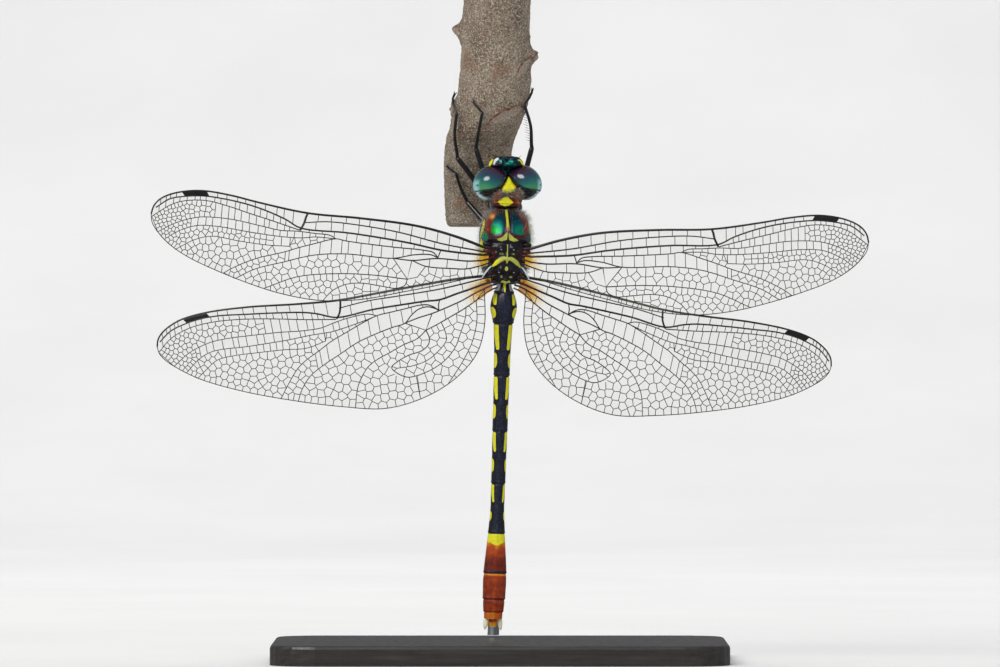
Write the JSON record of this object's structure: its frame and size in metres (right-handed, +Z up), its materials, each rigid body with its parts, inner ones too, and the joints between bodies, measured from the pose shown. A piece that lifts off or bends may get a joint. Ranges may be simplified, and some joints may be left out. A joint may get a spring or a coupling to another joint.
{
  "type": "dragonfly display model",
  "caption": "Life-size dragonfly with metallic green thorax and clear veined wings, hanging from a cut twig held by a rod on a flat base.",
  "frame": {"origin": "middle of the underside of the stand's base", "axes": "+Z up, towards the dragonfly's head; -Y the way its back faces; +X to its right side"},
  "size_m": [0.078, 0.036, 0.0752],
  "materials": {
    "chitin_green": "metallic green chitin with short pale hair",
    "chitin_black": "glossy black chitin with yellow side marks on the abdomen",
    "chitin_red_brown": "glossy red-brown chitin",
    "chitin_yellow": "satin yellow chitin",
    "chitin_cream": "satin cream chitin",
    "eye": "glossy green compound eye, maroon above",
    "wing": "clear membrane with black veins, amber at the root",
    "bark": "rough speckled grey-brown bark",
    "base": "satin black acrylic",
    "rod": "polished steel"
  },
  "bodies": {
    "root": {"head": "chitin_black", "frons": "chitin_green", "face": "chitin_yellow", "labium": "chitin_red_brown", "eye_left": "eye", "eye_right": "eye", "antenna_left": "chitin_black", "antenna_right": "chitin_black", "prothorax": "chitin_yellow", "thorax": "chitin_green", "abdomen_s1": "chitin_black", "abdomen_s2": "chitin_black", "abdomen_s3": "chitin_black", "abdomen_s4": "chitin_black", "abdomen_s5": "chitin_black", "abdomen_s6": "chitin_black", "abdomen_s7": "chitin_red_brown", "abdomen_s8": "chitin_red_brown", "abdomen_s9": "chitin_red_brown", "abdomen_s10": "chitin_red_brown", "cercus_left": "chitin_cream", "cercus_right": "chitin_cream", "epiproct": "chitin_red_brown", "forewing_left": "wing", "forewing_right": "wing", "hindwing_left": "wing", "hindwing_right": "wing", "leg_left_front_femur": "chitin_black", "leg_left_front_tibia": "chitin_black", "leg_left_front_tarsus": "chitin_black", "leg_left_middle_femur": "chitin_black", "leg_left_middle_tibia": "chitin_black", "leg_left_middle_tarsus": "chitin_black", "leg_left_hind_femur": "chitin_black", "leg_left_hind_tibia": "chitin_black", "leg_left_hind_tarsus": "chitin_black", "leg_right_front_femur": "chitin_black", "leg_right_front_tibia": "chitin_black", "leg_right_front_tarsus": "chitin_black", "leg_right_middle_femur": "chitin_black", "leg_right_middle_tibia": "chitin_black", "leg_right_middle_tarsus": "chitin_black", "leg_right_hind_femur": "chitin_black", "leg_right_hind_tibia": "chitin_black", "leg_right_hind_tarsus": "chitin_black", "perch_twig": "bark", "stand_base": "base", "stand_rod": "rod"}
  },
  "joints": []
}
